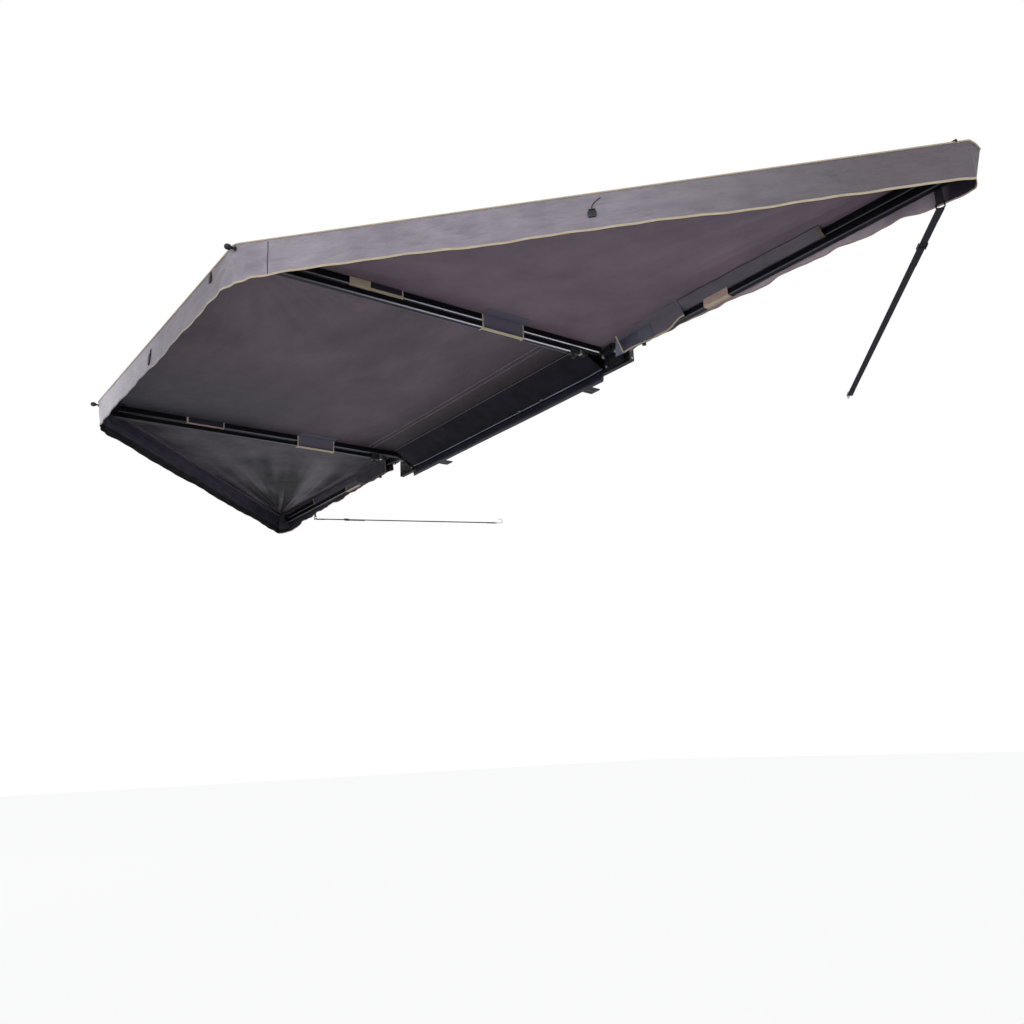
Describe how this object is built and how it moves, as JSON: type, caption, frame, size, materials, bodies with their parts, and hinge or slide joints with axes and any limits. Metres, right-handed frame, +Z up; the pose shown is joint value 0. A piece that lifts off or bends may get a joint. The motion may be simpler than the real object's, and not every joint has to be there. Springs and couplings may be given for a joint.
{
  "type": "vehicle side awning",
  "caption": "Vehicle side awning: a backing rail with two pivot hubs, folding arms that spread a three-panel canopy with valances, and drop-down telescopic legs.",
  "frame": {"origin": "Centre of the flat back face of the backing rail, midway along it and midway up.", "axes": "+X runs along the rail to the rear of the vehicle, +Y points from the rail toward the vehicle, so the canopy reaches out along -Y, and +Z is up."},
  "size_m": [5.22, 2.8037, 0.2084],
  "materials": {
    "black_anodised": "black anodised",
    "dark_aluminium": "dark anodised",
    "bare_aluminium": "satin",
    "black_steel": "black powder coat",
    "bright_steel": "zinc plated",
    "black_plastic": "fine grain",
    "foot_rubber": "moulded",
    "canvas": "plain weave, coated",
    "vinyl": "coated, slight sheen",
    "webbing": "ribbed webbing"
  },
  "bodies": {
    "root": {"backing_rail": "black_anodised", "rail_end_cap_rear": "black_plastic", "rail_end_cap_front": "black_plastic", "hub_bracket_rear": "black_steel", "hub_bracket_front": "black_steel", "pivot_bolt_a": "bright_steel", "pivot_bolt_c": "bright_steel", "mount_bracket_rear": "black_steel", "mount_bracket_front": "black_steel", "mount_bolt_rear_upper": "bright_steel", "mount_bolt_rear_lower": "bright_steel", "mount_bolt_front_upper": "bright_steel", "mount_bolt_front_lower": "bright_steel", "travel_cover": "vinyl", "canopy_middle": "canvas", "valance_middle": "canvas"},
    "arm_a": {"knuckle_a": "black_steel", "arm_tube_a": "dark_aluminium", "arm_tip_a": "black_steel", "corner_pin_a": "black_steel", "wrap_a": "vinyl", "pivot_bolt_b": "bright_steel", "canopy_rear": "canvas", "valance_rear": "canvas"},
    "leg_a": {"leg_tube_a": "dark_aluminium", "leg_lock_a": "black_plastic"},
    "inner_leg_a": {"leg_inner_a": "bare_aluminium", "leg_foot_a": "foot_rubber"},
    "arm_b": {"knuckle_b": "black_steel", "arm_tube_b": "dark_aluminium", "arm_tip_b": "black_steel", "corner_pin_b": "black_steel", "wrap_b": "vinyl", "tie_strap_rear": "webbing"},
    "leg_b": {"leg_tube_b": "dark_aluminium", "leg_lock_b": "black_plastic"},
    "inner_leg_b": {"leg_inner_b": "bare_aluminium", "leg_foot_b": "foot_rubber"},
    "arm_c": {"knuckle_c": "black_steel", "arm_tube_c": "dark_aluminium", "arm_tip_c": "black_steel", "corner_pin_c": "black_steel", "wrap_c": "vinyl", "pivot_bolt_d": "bright_steel", "canopy_front": "canvas", "valance_front": "canvas"},
    "leg_c": {"leg_tube_c": "dark_aluminium", "leg_lock_c": "black_plastic"},
    "inner_leg_c": {"leg_inner_c": "bare_aluminium", "leg_foot_c": "foot_rubber"},
    "arm_d": {"knuckle_d": "black_steel", "arm_tube_d": "dark_aluminium", "arm_tip_d": "black_steel", "corner_pin_d": "black_steel", "wrap_d": "vinyl", "tie_strap_front": "webbing"},
    "leg_d": {"leg_tube_d": "dark_aluminium", "leg_lock_d": "black_plastic"},
    "inner_leg_d": {"leg_inner_d": "bare_aluminium", "leg_foot_d": "foot_rubber"}
  },
  "joints": [
    {"name": "arm_a_fold", "type": "hinge", "parent": "root", "child": "arm_a", "pos_m": [0.87, -0.054, 0.02], "axis": [0, 0, 1], "range_deg": [-90, 0], "deforming": ["canopy_middle", "valance_middle"]},
    {"name": "arm_b_fold", "type": "hinge", "parent": "arm_a", "child": "arm_b", "pos_m": [0.95, -0.054, 0.02], "axis": [0, 0, 1], "range_deg": [-90, 0], "deforming": ["canopy_rear", "valance_rear", "tie_strap_rear"]},
    {"name": "arm_c_fold", "type": "hinge", "parent": "root", "child": "arm_c", "pos_m": [-0.87, -0.094, 0.02], "axis": [0, 0, -1], "range_deg": [-90, 0]},
    {"name": "arm_d_fold", "type": "hinge", "parent": "arm_c", "child": "arm_d", "pos_m": [-0.95, -0.094, 0.02], "axis": [0, 0, -1], "range_deg": [-90, 0], "deforming": ["canopy_front", "valance_front", "tie_strap_front"]},
    {"name": "leg_a_fold", "type": "hinge", "parent": "arm_a", "child": "leg_a", "pos_m": [0.87, -1.666, -0.0048], "axis": [-1, 0, 0], "range_deg": [0, 90], "deforming": ["wrap_a"]},
    {"name": "leg_a_extend", "type": "slide", "parent": "leg_a", "child": "inner_leg_a", "axis": [0, 1, 0], "range_m": [0, 0.95]},
    {"name": "leg_b_fold", "type": "hinge", "parent": "arm_b", "child": "leg_b", "pos_m": [2.522, -0.054, -0.0048], "axis": [0, -1, 0], "range_deg": [0, 90], "deforming": ["wrap_b"]},
    {"name": "leg_b_extend", "type": "slide", "parent": "leg_b", "child": "inner_leg_b", "axis": [-1, 0, 0], "range_m": [0, 0.95]},
    {"name": "leg_c_fold", "type": "hinge", "parent": "arm_c", "child": "leg_c", "pos_m": [-0.87, -1.706, -0.0048], "axis": [-1, 0, 0], "range_deg": [0, 90], "deforming": ["wrap_c"]},
    {"name": "leg_c_extend", "type": "slide", "parent": "leg_c", "child": "inner_leg_c", "axis": [0, 1, 0], "range_m": [0, 0.95]},
    {"name": "leg_d_fold", "type": "hinge", "parent": "arm_d", "child": "leg_d", "pos_m": [-2.522, -0.094, -0.0048], "axis": [0, 1, 0], "range_deg": [0, 90], "deforming": ["wrap_d"]},
    {"name": "leg_d_extend", "type": "slide", "parent": "leg_d", "child": "inner_leg_d", "axis": [1, 0, 0], "range_m": [0, 0.95]}
  ],
  "couplings": [
    {"joint": "leg_a_extend", "follows": "leg_a_fold", "m_per_rad": 0.6047},
    {"joint": "leg_b_extend", "follows": "leg_b_fold", "m_per_rad": 0.6047},
    {"joint": "leg_c_extend", "follows": "leg_c_fold", "m_per_rad": 0.6047},
    {"joint": "leg_d_extend", "follows": "leg_d_fold", "m_per_rad": 0.6047}
  ]
}
